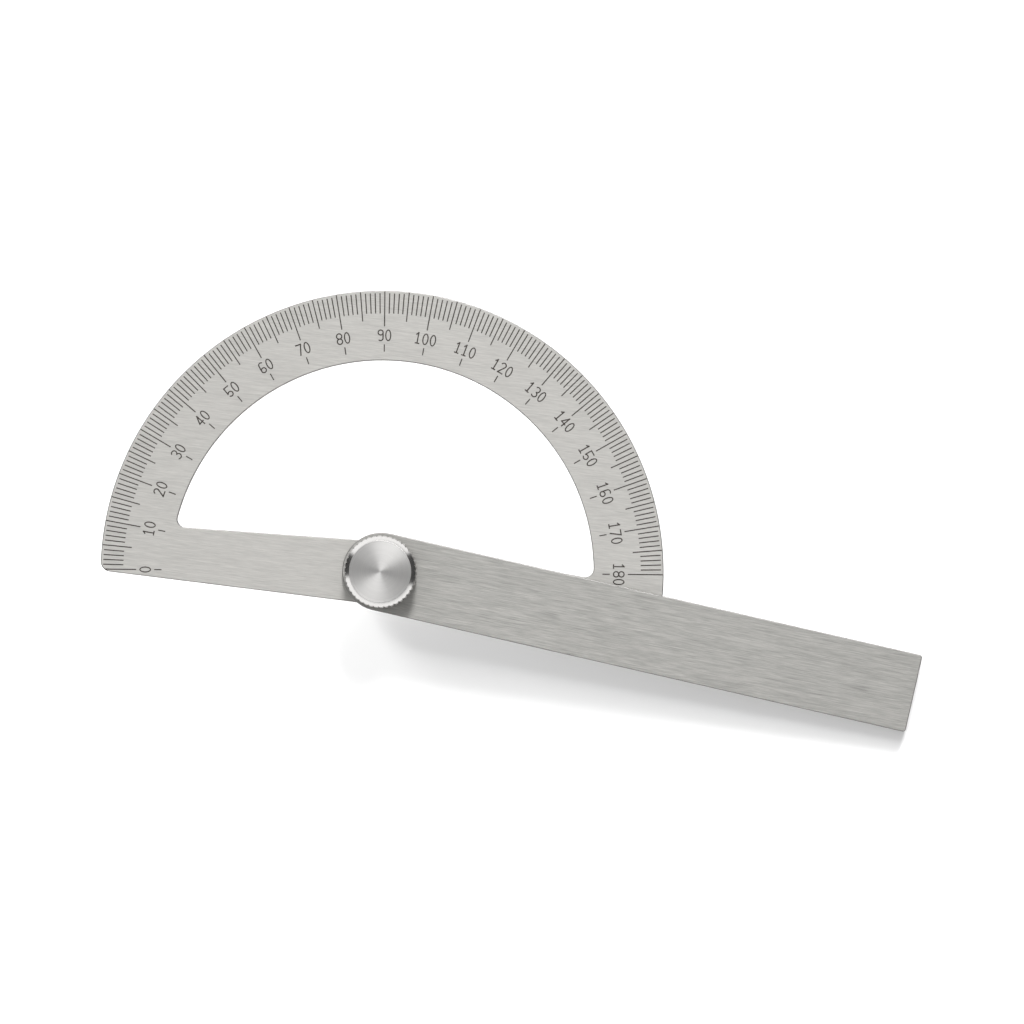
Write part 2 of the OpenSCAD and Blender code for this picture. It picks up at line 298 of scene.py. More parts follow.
class Outline:
    """A line drawn by extruding one vertex along straight runs and spinning it round arcs."""

    def __init__(self, bm, x, y):
        self.bm = bm
        self.tip = bmesh.ops.create_vert(bm, co=(x, y, 0))["vert"][0]

    def line(self, x, y, parts=1):
        step = (Vector((x, y, 0)) - self.tip.co) / parts
        for _ in range(parts):
            made = bmesh.ops.extrude_vert_indiv(self.bm, verts=[self.tip])
            self.tip = made["verts"][0]
            bmesh.ops.translate(self.bm, vec=step, verts=[self.tip])

    def arc(self, centre, turn, steps):
        made = bmesh.ops.spin(self.bm, geom=[self.tip], cent=centre, axis=(0, 0, 1),
                              dvec=(0, 0, 0), angle=turn, steps=steps, use_merge=False,
                              use_duplicate=False)
        self.tip = [v for v in made["geom_last"] if isinstance(v, bmesh.types.BMVert)][0]


def weld(bm):
    bmesh.ops.remove_doubles(bm, verts=bm.verts[:], dist=WELD)


def thicken(bm, low, high):
    """Makes the flat faces of the bmesh a sheet from one height to another."""
    bmesh.ops.translate(bm, vec=(0, 0, low), verts=bm.verts[:])
    made = bmesh.ops.extrude_face_region(bm, geom=bm.faces[:], use_keep_orig=True)
    top = [v for v in made["geom"] if isinstance(v, bmesh.types.BMVert)]
    bmesh.ops.translate(bm, vec=(0, 0, high - low), verts=top)
    bmesh.ops.recalc_face_normals(bm, faces=bm.faces[:])
    return bm


def bore_cutter(radius, low, high, flat=None):
    """A cutter for a bore, with two flats where their distance from the axis is given."""
    bm = bmesh.new()
    bmesh.ops.create_circle(bm, cap_ends=True, radius=radius, segments=ROUND_STEPS)
    for side in (1, -1) if flat else ():
        bmesh.ops.bisect_plane(bm, geom=bm.verts[:] + bm.edges[:] + bm.faces[:],
                               plane_co=(0, side * flat, 0), plane_no=(0, side, 0),
                               clear_outer=True)
    return thicken(bm, low - OVERRUN, high + OVERRUN)


def round_edges(bm, offset, segments, chosen):
    """Rounds the sharp edges that pass a test."""
    edges = [e for e in bm.edges
             if e.is_manifold and e.calc_face_angle() > SHARP and chosen(e)]
    bmesh.ops.bevel(bm, geom=edges, offset=offset, offset_type="OFFSET", segments=segments,
                    profile=0.5, affect="EDGES", material=-1, clamp_overlap=True)


def level(edge):
    return abs(edge.verts[0].co.z - edge.verts[1].co.z) < WELD


def turned(points, steps):
    """Spins a profile of (radius, height) points about the Z axis."""
    bm = bmesh.new()
    line = Outline(bm, *points[0])
    for point in points[1:]:
        line.line(*point)
    bmesh.ops.rotate(bm, cent=(0, 0, 0), matrix=Matrix.Rotation(math.pi / 2, 3, "X"),
                     verts=bm.verts[:])
    bmesh.ops.spin(bm, geom=bm.verts[:] + bm.edges[:], cent=(0, 0, 0), axis=(0, 0, 1),
                   dvec=(0, 0, 0), angle=math.tau, steps=steps, use_merge=True,
                   use_duplicate=False)
    weld(bm)
    bmesh.ops.recalc_face_normals(bm, faces=bm.faces[:])
    return bm


def shade(mesh, flat_heights=()):
    """Smooth shading with sharp edges, and flat shading on the level faces at some heights."""
    mesh.set_sharp_from_angle(angle=SMOOTH)
    for face in mesh.polygons:
        face.use_smooth = not any(
            abs(face.center.z - z) < WELD and abs(face.normal.z) > LEVEL
            for z in flat_heights)


def add_grain_map(mesh, turn):
    """A UV map whose U runs along the grain, for the direction of the brushing."""
    layer = mesh.uv_layers.new(name="grain")
    along = Vector((math.cos(turn), math.sin(turn)))
    across = Vector((-math.sin(turn), math.cos(turn)))
    for loop in mesh.loops:
        place = mesh.vertices[loop.vertex_index].co.xy
        layer.data[loop.index].uv = (place.dot(along) / (100 * MM),
                                     place.dot(across) / (100 * MM))


def put(name, data):
    """Adds an object with this data to the scene."""
    made = bpy.data.objects.new(name, data)
    bpy.context.scene.collection.objects.link(made)
    return made


def put_mesh(name, bm):
    mesh = bpy.data.meshes.new(name)
    bm.to_mesh(mesh)
    bm.free()
    return put(name, mesh)


def piece_from(bm, name, body, nodes, materials):
    piece = put_mesh(name, bm)
    for material in materials:
        piece.data.materials.append(material)
    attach(piece, body)
    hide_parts(*nodes)
    return piece


def cut(piece, cutter_bm):
    """Takes the cutter's solids out of the piece, and leaves no modifier on it."""
    cutter = put_mesh("cutter", cutter_bm)
    tool = piece.modifiers.new("cut", "BOOLEAN")
    tool.operation = "DIFFERENCE"
    tool.solver = "EXACT"
    tool.object = cutter
    seen = piece.evaluated_get(bpy.context.evaluated_depsgraph_get())
    made = bpy.data.meshes.new_from_object(seen)
    piece.modifiers.clear()
    made.name = piece.data.name + "_cut"
    spent = piece.data, cutter.data
    piece.data = made
    bpy.data.objects.remove(cutter)
    for mesh in spent:
        bpy.data.meshes.remove(mesh)


# Shader groups


class Nodes:
    """Adds nodes to a tree and joins them."""

    def __init__(self, tree):
        self.tree = tree

    def add(self, kind, settings=None, **inputs):
        node = self.tree.nodes.new(kind)
        for key, value in (settings or {}).items():
            setattr(node, key, value)
        for key, value in inputs.items():
            self.join(value, node.inputs[key.replace("_", " ")])
        return node

    def join(self, value, socket):
        if isinstance(value, bpy.types.NodeSocket):
            self.tree.links.new(value, socket)
        else:
            socket.default_value = value

    def feed(self, kind, settings, values):
        """A node whose first sockets get these values in turn."""
        node = self.add(kind, settings)
        for socket, value in zip(node.inputs, values):
            self.join(value, socket)
        return node.outputs

    def math(self, operation, *values):
        return self.feed("ShaderNodeMath", {"operation": operation}, values)[0]

    def vector(self, operation, *values, out=0):
        return self.feed("ShaderNodeVectorMath", {"operation": operation}, values)[out]

    def noise(self, vector, scale, detail=2.0, roughness=0.5):
        node = self.add("ShaderNodeTexNoise", {"noise_dimensions": "3D"}, Vector=vector,
                        Scale=scale, Detail=detail, Roughness=roughness)
        return node.outputs["Fac"]

    def fit(self, value, low, high, to_low, to_high, smooth=False):
        kind = {"interpolation_type": "SMOOTHSTEP" if smooth else "LINEAR"}
        values = (value, low, high, to_low, to_high)
        return self.feed("ShaderNodeMapRange", kind, values)["Result"]

    def spread(self, noise, to_low, to_high):
        """Stretches the values that a noise usually takes to a new range."""
        return self.fit(noise, *NOISE_RANGE, to_low, to_high)

    def tone(self, noise, contrast):
        """A factor about 1 for a colour, from a noise about a half."""
        return self.math("MULTIPLY_ADD", self.math("SUBTRACT", noise, 0.5), contrast, 1.0)

    def tint(self, base, factor):
        """A colour times a value."""
        return self.add("ShaderNodeVectorMath", {"operation": "SCALE"}, Vector=base,
                        Scale=factor).outputs[0]

    def radius(self, place):
        """The distance from the Z axis."""
        return self.vector("LENGTH", self.vector("MULTIPLY", place, (1, 1, 0)), out="Value")

    def group(self, name, make, **inputs):
        """A node with a group that all materials share."""
        tree = bpy.data.node_groups.get(name) or make(name)
        return self.add("ShaderNodeGroup", {"node_tree": tree}, **inputs).outputs


def new_group(name, *numbers):
    """A group that makes a height and a tone from a place, some numbers and a contrast."""
    tree = bpy.data.node_groups.new(name, "ShaderNodeTree")
    socket = tree.interface.new_socket
    socket(name="Vector", in_out="INPUT", socket_type="NodeSocketVector")
    for number in (*numbers, "Contrast"):
        socket(name=number, in_out="INPUT", socket_type="NodeSocketFloat")
    for result in ("Height", "Tone"):
        socket(name=result, in_out="OUTPUT", socket_type="NodeSocketFloat")
    nodes = Nodes(tree)
    return nodes, nodes.add("NodeGroupInput").outputs


def end_group(nodes, source, height):
    nodes.add("NodeGroupOutput", Height=height, Tone=nodes.tone(height, source["Contrast"]))
    return nodes.tree


def grain_group(name):
    """Brushed grain: streaks along X, of a length and a width."""
    nodes, source = new_group(name, "Length", "Width")
    thin = nodes.math("DIVIDE", 1.0, source["Width"])
    long = nodes.math("DIVIDE", 1.0, source["Length"])
    spread = nodes.add("ShaderNodeCombineXYZ", X=long, Y=thin, Z=thin).outputs[0]
    fine = nodes.vector("MULTIPLY", source["Vector"], spread)
    streaks = nodes.noise(fine, 1.0, 3.0, 0.6)
    bands = nodes.noise(fine, 0.23, 2.0, 0.5)
    hairs = nodes.noise(nodes.vector("MULTIPLY", fine, (0.5, 2.6, 2.6)), 1.0, 1.0, 0.5)
    both = nodes.math("MULTIPLY_ADD", bands, 0.22, nodes.math("MULTIPLY", streaks, 0.78))
    height = nodes.math("MULTIPLY_ADD", hairs, 0.4, nodes.math("MULTIPLY", both, 0.6))
    return end_group(nodes, source, height)


def turning_group(name):
    """Turned marks: fine rings about the Z axis."""
    nodes, source = new_group(name, "Pitch")
    turns = nodes.math("DIVIDE", nodes.radius(source["Vector"]), source["Pitch"])
    drift = nodes.noise(source["Vector"], 180.0, 1.0)
    row = nodes.add("ShaderNodeCombineXYZ", X=turns, Y=drift, Z=0.0).outputs[0]
    return end_group(nodes, source, nodes.noise(row, 1.0, 2.0, 0.6))


def clouds_group(name):
    """Slow changes over a surface, as from handling."""
    nodes, source = new_group(name, "Size")
    scale = nodes.math("DIVIDE", 1.0, source["Size"])
    return end_group(nodes, source, nodes.noise(source["Vector"], scale, 3.0, 0.55))


def clouds(nodes, place, size, contrast):
    return nodes.group("clouds", clouds_group, Vector=place, Size=size, Contrast=contrast)


# Materials


def empty_tree(owner):
    """The nodes of a material or a world, with none in them yet."""
    owner.use_nodes = True
    owner.node_tree.nodes.clear()
    return Nodes(owner.node_tree)


def new_material(name):
    """A material, its nodes, its Principled BSDF's inputs and its Object coordinates."""
    material = bpy.data.materials.new(name)
    nodes = empty_tree(material)
    shader = nodes.add("ShaderNodeBsdfPrincipled")
    nodes.add("ShaderNodeOutputMaterial", Surface=shader.outputs[0])
    place = nodes.add("ShaderNodeTexCoord").outputs["Object"]
    return material, nodes, shader.inputs, place


def finish_shader(nodes, sockets, base, tones, rough, relief, strength, depth):
    """Joins a base times two tones, a roughness and a relief of a strength and a depth."""
    tone = nodes.math("MULTIPLY", *tones)
    bump = nodes.add("ShaderNodeBump", Height=relief, Strength=strength, Distance=depth)
    nodes.join(nodes.tint((*base,), tone), sockets["Base Color"])
    nodes.join(rough, sockets["Roughness"])
    nodes.join(bump.outputs["Normal"], sockets["Normal"])


def lay_marks(nodes, sockets, strength, along):
    """Steel whose highlights stretch across the marks of its brushing or turning."""
    sockets["Metallic"].default_value = 1
    sockets["Anisotropic"].default_value = strength
    sockets["Anisotropic Rotation"].default_value = QUARTER_TURN
    nodes.join(nodes.add("ShaderNodeTangent", along).outputs[0], sockets["Tangent"])


def brushed_steel(name, base, turn, grain_length, grain_width, contrast, roughness):
    """Brushed steel, with its grain at an angle to the frame's X."""
    material, nodes, sockets, place = new_material(name)
    lay = nodes.add("ShaderNodeMapping", Vector=place, Rotation=(0, 0, -turn)).outputs[0]
    grain = nodes.group("brushed grain", grain_group, Vector=lay, Length=grain_length,
                        Width=grain_width, Contrast=contrast)
    cloud = clouds(nodes, place, 22 * MM, 0.05)
    rough = nodes.spread(grain["Height"], roughness - 0.04, roughness + 0.04)
    finish_shader(nodes, sockets, base, (grain["Tone"], cloud["Tone"]), rough,
                  grain["Height"], 0.25, 0.02 * MM)
    lay_marks(nodes, sockets, BRUSHED_STRETCH,
              {"direction_type": "UV_MAP", "uv_map": "grain"})
    return material


def turned_steel(name, base, pitch, contrast, roughness, stretch):
    """Turned steel, with fine rings about the frame's Z."""
    material, nodes, sockets, place = new_material(name)
    marks = nodes.group("turned marks", turning_group, Vector=place, Pitch=pitch,
                        Contrast=contrast)
    cloud = clouds(nodes, place, 4 * MM, 0.06)
    rough = nodes.spread(marks["Height"], roughness - 0.03, roughness + 0.03)
    finish_shader(nodes, sockets, base, (marks["Tone"], cloud["Tone"]), rough,
                  marks["Height"], 0.12, 0.01 * MM)
    lay_marks(nodes, sockets, stretch, {"direction_type": "RADIAL", "axis": "Z"})
    return material


def cut_steel(name, base, roughness=0.42):
    """Sheared and deburred edges, with marks across the sheet and a speckled tone."""
    material, nodes, sockets, place = new_material(name)
    cloud = clouds(nodes, place, 0.8 * MM, 0.5)
    lines = nodes.noise(nodes.vector("MULTIPLY", place, (1.0, 1.0, 0.08)), 1 / SPECK, 2.0)
    rough = nodes.spread(cloud["Height"], roughness - 0.06, roughness + 0.06)
    finish_shader(nodes, sockets, base, (cloud["Tone"], nodes.spread(lines, 0.85, 1.15)),
                  rough, lines, 0.2, 0.01 * MM)
    sockets["Metallic"].default_value = 1
    return material


def knurled_steel(name, base, crest_radius, depth):
    """The knurled side: bright crests, and a painted shade that darkens a point the deeper it
    lies in a groove.
    """
    material, nodes, sockets, place = new_material(name)
    # painted shade: the colour falls to the groove tone towards the bottom of each groove, and
    # the roughness follows the same mask
    groove_shade = nodes.fit(nodes.radius(place), crest_radius - depth, crest_radius - 0.1 * depth,
                     GROOVE_SHADE_TONE, 1.0)
    cloud = clouds(nodes, place, 0.5 * MM, 0.4)
    rough = nodes.fit(groove_shade, GROOVE_SHADE_TONE, 1.0, 0.55, 0.42)
    finish_shader(nodes, sockets, base, (groove_shade, cloud["Tone"]), rough, cloud["Height"], 0.15,
                  0.02 * MM)
    sockets["Metallic"].default_value = 1
    return material


def etched_fill(name, base):
    """Dark fill in the etched scale: matt, a little uneven, thinner here and there."""
    material, nodes, sockets, place = new_material(name)
    cloud = clouds(nodes, place, 1.2 * MM, 0.9)
    specks = nodes.noise(place, 1 / SPECK, 1.0)
    rough = nodes.spread(cloud["Height"], 0.5, 0.7)
    finish_shader(nodes, sockets, base, (cloud["Tone"], nodes.spread(specks, 0.85, 1.15)),
                  rough, specks, 0.3, 0.01 * MM)
    sockets["Specular IOR Level"].default_value = 0.35
    return material


def pressed_fibre(name, base):
    """Pressed fibre: short hairs in a brown body."""
    material, nodes, sockets, place = new_material(name)
    hairs = nodes.noise(nodes.vector("MULTIPLY", place, (1.0, 0.25, 1.0)), 1 / HAIR, 3.0,
                        0.65)
    cloud = clouds(nodes, place, 1 * MM, 0.5)
    finish_shader(nodes, sockets, base, (cloud["Tone"], nodes.spread(hairs, 0.7, 1.3)),
                  nodes.spread(hairs, 0.7, 0.9), hairs, 0.4, 0.03 * MM)
    return material


# Operators


class ANGLEFINDER_OT_scale_plate(bpy.types.Operator):
    """Build the half-round plate with its window and its etched scale"""
    bl_idname = "anglefinder.scale_plate"
    bl_label = "Scale plate"

    def outer_line(self, bm, plate):
        r = plate.corner_radius
        y = r - plate.base_drop
        x = math.sqrt((plate.arc_radius - r) ** 2 - y * y)
        lean = math.atan2(y, x)
        line = Outline(bm, x, -plate.base_drop)
        line.arc((x, y, 0), lean + math.pi / 2, CORNER_STEPS)
        line.arc((0, 0, 0), math.pi - 2 * lean, ARC_STEPS)
        line.arc((-x, y, 0), lean + math.pi / 2, CORNER_STEPS)
        line.line(x, -plate.base_drop, BAR_STEPS)

    def window_line(self, bm, plate):
        r = plate.window_radius
        fall = math.tan(plate.bar_slope)
        reach = plate.arc_radius - plate.ring_width - r
        rise = plate.bar_rise + r / math.cos(plate.bar_slope)
        steep = 1 + fall * fall
        x = (rise * fall + math.sqrt((rise * fall) ** 2
                                     - steep * (rise * rise - reach * reach))) / steep
        y = rise - x * fall
        lean = math.atan2(y, x)
        sweep = lean + math.pi / 2 + plate.bar_slope
        foot = (x - r * math.sin(plate.bar_slope), y - r * math.cos(plate.bar_slope))
        line = Outline(bm, *foot)
        line.arc((x, y, 0), sweep, CORNER_STEPS)
        line.arc((0, 0, 0), math.pi - 2 * lean, ARC_STEPS)
        line.arc((-x, y, 0), sweep, CORNER_STEPS)
        line.line(0, plate.bar_rise, BAR_STEPS // 2)
        line.line(*foot, BAR_STEPS // 2)

    def scale_cutter(self, top):
        """A merged copy of the fill's solids, raised through the plate's face."""
        bm = bmesh.new()
        for node in SCALE_NODES:
            bm.from_mesh(frame["nodes"][node].data)
        weld(bm)
        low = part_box("degree_lines")[0].z
        for v in bm.verts:
            if v.co.z > low + WELD:
                v.co.z = top + OVERRUN
        return bm

    def execute(self, context):
        plate = context.scene.angle_plate
        finish = context.scene.angle_finish
        low, high = (corner.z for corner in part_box("scale_plate"))
        bm = bmesh.new()
        self.outer_line(bm, plate)
        self.window_line(bm, plate)
        weld(bm)
        bmesh.ops.bridge_loops(bm, edges=bm.edges[:])
        thicken(bm, low, high)
        round_edges(bm, plate.edge_round, SHEET_SEGMENTS, level)
        brushed = brushed_steel("plate_brushed", finish.plate, turn=0.0,
                                grain_length=2.4 * MM, grain_width=0.19 * MM,
                                contrast=0.95, roughness=0.6)
        piece = piece_from(bm, "plate_sheet", "plate", ["scale_plate"],
                           # cut steel round the plate: its darker colour is partly painted
                           # edge shade
                           [brushed, cut_steel("plate_cut_edge", finish.edge),
                            cut_steel("etched_wall", finish.fill, 0.6)])
        cut(piece, bore_cutter(plate.hole_radius, low, high, plate.hole_flat))
        cut(piece, self.scale_cutter(high))
        self.paint(piece.data, plate, low, high)
        add_grain_map(piece.data, 0.0)
        fill = etched_fill("etched_fill", finish.fill)
        for node in SCALE_NODES:
            mesh = frame["nodes"][node].data
            mesh.materials.clear()
            mesh.materials.append(fill)
        return {"FINISHED"}

    def paint(self, mesh, plate, low, high):
        """Brushed steel on the two faces, cut steel round the sheet whose darker colour is
        partly painted edge shade, dark etched walls.
        """
        inner = plate.arc_radius - plate.ring_width + 2 * plate.edge_round
        outer = plate.arc_radius - plate.edge_round
        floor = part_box("degree_lines")[0].z
        for face in mesh.polygons:
            z = face.center.z
            is_level = abs(face.normal.z) > LEVEL
            if is_level and min(abs(z - low), abs(z - high)) < WELD:
                face.material_index = 0
            elif z > floor - WELD and inner < face.center.xy.length < outer \
                    and face.center.y > plate.edge_round - plate.base_drop:
                face.material_index = 2
            else:
                face.material_index = 1
        shade(mesh, (low, high))


class ANGLEFINDER_OT_swing_arm(bpy.types.Operator):
    """Build the arm with its round end, its square end and its bore"""
    bl_idname = "anglefinder.swing_arm"
    bl_label = "Swing arm"

    def execute(self, context):
        arm = context.scene.angle_arm
        finish = context.scene.angle_finish
        low, high = (corner.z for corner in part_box("swing_arm"))
        half, tip = arm.width / 2, arm.tip_radius
        bm = bmesh.new()
        line = Outline(bm, 0, -half)
        line.line(arm.reach - tip, -half)
        line.arc((arm.reach - tip, tip - half, 0), math.pi / 2, TIP_STEPS)
        line.line(arm.reach, half - tip)
        line.arc((arm.reach - tip, half - tip, 0), math.pi / 2, TIP_STEPS)
        line.line(0, half)
        line.arc((0, 0, 0), math.pi, END_STEPS)
        weld(bm)
        bmesh.ops.contextual_create(bm, geom=bm.edges[:])
        thicken(bm, low, high)
        round_edges(bm, arm.edge_round, SHEET_SEGMENTS, level)
        turn = Matrix.Rotation(-arm.rest, 3, "Z")
        bmesh.ops.rotate(bm, cent=(0, 0, 0), matrix=turn, verts=bm.verts[:])
        grain = arm.grain_turn - arm.rest
        brushed = brushed_steel("arm_brushed", finish.arm, turn=grain,
                                grain_length=2.8 * MM, grain_width=0.15 * MM,
                                contrast=1.9, roughness=0.62)
        piece = piece_from(bm, "arm_blade", "arm", ["swing_arm"],
                           # cut steel round the arm: its darker colour is partly painted edge
                           # shade
                           [brushed, cut_steel("arm_cut_edge", finish.edge)])
        cut(piece, bore_cutter(arm.bore_radius, low, high))
        for face in piece.data.polygons:
            face.material_index = 0 if abs(face.normal.z) > LEVEL else 1
        shade(piece.data, (low, high))
        add_grain_map(piece.data, grain)
        return {"FINISHED"}


class ANGLEFINDER_OT_pivot_stud(bpy.types.Operator):
    """Build the stud with its low head, its flats, its journal and its thread"""
    bl_idname = "anglefinder.pivot_stud"
    bl_label = "Pivot stud"

    def execute(self, context):
        stud = context.scene.angle_stud
        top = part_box("pivot_stud")[1].z
        plate_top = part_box("scale_plate")[1].z
        runs = THREAD_RUNS * round((top - stud.journal_top) / stud.thread_pitch)
        points = [(0, 0), (stud.head_radius - stud.head_chamfer, 0),
                  (stud.head_radius, stud.head_chamfer), (stud.head_radius, stud.head_height),
                  (stud.neck_radius, stud.head_height), (stud.neck_radius, plate_top),
                  (stud.journal_radius, plate_top), (stud.journal_radius, stud.journal_top)]
        points += [(stud.thread_radius,
                    stud.journal_top + (top - stud.journal_top) * i / runs)
                   for i in range(runs + 1)]
        points += [(0, top)]
        bm = turned(points, THREAD_STEPS)
        round_edges(bm, stud.head_round, TURNED_SEGMENTS, lambda e: level(e)
                    and e.verts[0].co.z < stud.head_height + WELD
                    and e.verts[0].co.xy.length > stud.neck_radius + WELD)
        self.cut_thread(bm, stud, top)
        for v in bm.verts:
            if stud.head_height - WELD < v.co.z < plate_top + WELD \
                    and v.co.xy.length < stud.neck_radius + WELD:
                v.co.y = max(-stud.neck_flat, min(stud.neck_flat, v.co.y))
        finish = context.scene.angle_finish
        piece = piece_from(bm, "stud", "plate", ["pivot_stud"],
                           [turned_steel("stud_turned", finish.stud, pitch=0.11 * MM,
                                         contrast=0.25, roughness=0.36, stretch=0.7)])
        shade(piece.data)
        return {"FINISHED"}

    def cut_thread(self, bm, stud, top):
        """Moves the shank's vertices in along a helix, fading out at both ends."""
        for v in bm.verts:
            radius = v.co.xy.length
            if v.co.z < stud.journal_top + WELD or radius < stud.thread_radius - WELD:
                continue
            climb = v.co.z / stud.thread_pitch - math.atan2(v.co.y, v.co.x) / math.tau
            groove = 1 - abs(2 * (climb % 1) - 1)
            fade = min(1, (v.co.z - stud.journal_top) / stud.thread_pitch,
                       2 * (top - v.co.z) / stud.thread_pitch + 0.3)
            depth = stud.thread_depth * max(groove, 0.6 if v.co.z > top - WELD else 0) * fade
            bmesh.ops.scale(bm, vec=((radius - depth) / radius,) * 2 + (1,), verts=[v])


class ANGLEFINDER_OT_washers(bpy.types.Operator):
    """Build the friction washer, the dished spring washer and the knob's washer"""
    bl_idname = "anglefinder.washers"
    bl_label = "Washers"

    def make(self, name, node, body, slot, points, material, offset):
        bm = turned(points + points[:1], ROUND_STEPS)
        round_edges(bm, offset, TURNED_SEGMENTS, level)
        piece = piece_from(bm, name, body, [node], [material])
        shade(piece.data)

    def execute(self, context):
        washers = context.scene.angle_washers
        finish = context.scene.angle_finish
        (low, high), outer = self.span("friction_washer")
        bore = washers.friction_bore
        self.make("fibre_washer", "friction_washer", "plate", "washer_fibre",
                  [(bore, low), (outer, low), (outer, high), (bore, high)],
                  pressed_fibre("pressed_fibre", finish.fibre), washers.edge_round)
        (low, high), outer = self.span("spring_washer")
        bore, sheet = washers.spring_bore, washers.spring_sheet
        self.make("dished_washer", "spring_washer", "arm", "spring_steel",
                  [(bore, low), (bore + sheet, low), (outer, high - sheet), (outer, high),
                   (outer - sheet, high), (bore, low + sheet)],
                  turned_steel("spring_turned", finish.washer, pitch=0.08 * MM,
                               contrast=0.2, roughness=0.34, stretch=0.5),
                  0.4 * washers.edge_round)
        (low, high), outer = self.span("knob_washer")
        bore, step = washers.held_bore, washers.held_step
        shelf = low + washers.held_step_height
        self.make("held_washer", "knob_washer", "clamp", "washer_steel",
                  [(step, low), (outer, low), (outer, high), (bore, high), (bore, shelf),
                   (step, shelf)],
                  turned_steel("washer_turned", finish.washer, pitch=0.09 * MM,
                               contrast=0.2, roughness=0.32, stretch=0.5),
                  washers.edge_round)
        return {"FINISHED"}

    def span(self, node):
        low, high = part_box(node)
        return (low.z, high.z), high.x


class ANGLEFINDER_OT_lock_knob(bpy.types.Operator):
    """Build the knob with its turned face, bevel, straight knurling, spigot and lip"""
    bl_idname = "anglefinder.lock_knob"
    bl_label = "Lock knob"

    def execute(self, context):
        knob = context.scene.angle_knob
        finish = context.scene.angle_finish
        lip_low, top = (corner.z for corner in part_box("lock_knob"))
        foot_z = top - knob.body_height
        lip_top = lip_low + knob.lip_height
        bore_top = top - knob.roof
        deep = knob.radius - knob.knurl_depth
        tips = knob.radius - knob.tip_wear
        half = knob.ring_width / 2
        points = [
            (0, top), (knob.centre_mark, top), (0.4 * knob.face_radius, top),
            (knob.ring_radius - half, top), (knob.ring_radius, top - knob.ring_depth),
            (knob.ring_radius + half, top), (knob.face_radius, top),
            (deep, self.bevel_z(knob, top, deep)),
            (tips, self.bevel_z(knob, top, tips)),
            (knob.radius, top - knob.bevel_height), (knob.radius, foot_z + knob.foot),
            (deep, foot_z + knob.foot - knob.knurl_depth),
            (knob.radius - knob.foot, foot_z), (knob.spigot_radius, foot_z),
            (knob.spigot_radius, lip_top), (knob.lip_radius, lip_top),
            (knob.lip_radius, lip_low), (knob.bore_radius, lip_low),
            (knob.bore_radius, bore_top), (0, bore_top)]
        bm = turned(points, knob.knurl_count * knob.groove_steps)
        round_edges(bm, knob.face_round, TURNED_SEGMENTS, lambda e: level(e) and abs(
            e.verts[0].co.xy.length - knob.face_radius) < WELD)
        self.knurl(bm, knob, top, foot_z)
        bmesh.ops.recalc_face_normals(bm, faces=bm.faces[:])
        face = turned_steel("knob_face_turned", finish.knob, pitch=0.09 * MM,
                            contrast=0.25, roughness=0.4, stretch=0.9)
        bevel = turned_steel("knob_bevel_turned", finish.bevel, pitch=0.05 * MM,
                             contrast=0.06, roughness=0.17, stretch=0.3)
        side = knurled_steel("knob_knurled", finish.knurl, knob.radius, knob.knurl_depth)
        piece = piece_from(bm, "knurled_knob", "knob", ["lock_knob"],
                           [face, bevel, side])
        for polygon in piece.data.polygons:
            spot = polygon.center.xy.length
            if polygon.normal.z > FACE_LEAN and spot < knob.face_radius:
                polygon.material_index = 0
            elif polygon.normal.z > BEVEL_LEAN and spot < tips:
                polygon.material_index = 1
            else:
                polygon.material_index = 2
        shade(piece.data)
        return {"FINISHED"}

    def bevel_z(self, knob, top, radius):
        run = (radius - knob.face_radius) / (knob.radius - knob.face_radius)
        return top - knob.bevel_height * run

    def knurl(self, bm, knob, top, foot_z):
        """Moves the rim's vertices in to the walls of the grooves."""
        pitch = math.tau / knob.knurl_count
        deep = knob.radius - knob.knurl_depth
        for v in bm.verts:
            radius = v.co.xy.length
            if radius < deep + WELD:
                continue
            turn = (math.atan2(v.co.y, v.co.x) + pitch / 2) % pitch - pitch / 2
            wall = deep + abs(turn) * knob.radius
            if radius <= wall:
                continue
            if v.co.z > top - knob.bevel_height - WELD:
                v.co.z = self.bevel_z(knob, top, wall)
            elif v.co.z < foot_z + knob.foot + WELD:
                v.co.z = foot_z + wall - (knob.radius - knob.foot)
            v.co.xy *= wall / radius
        weld(bm)


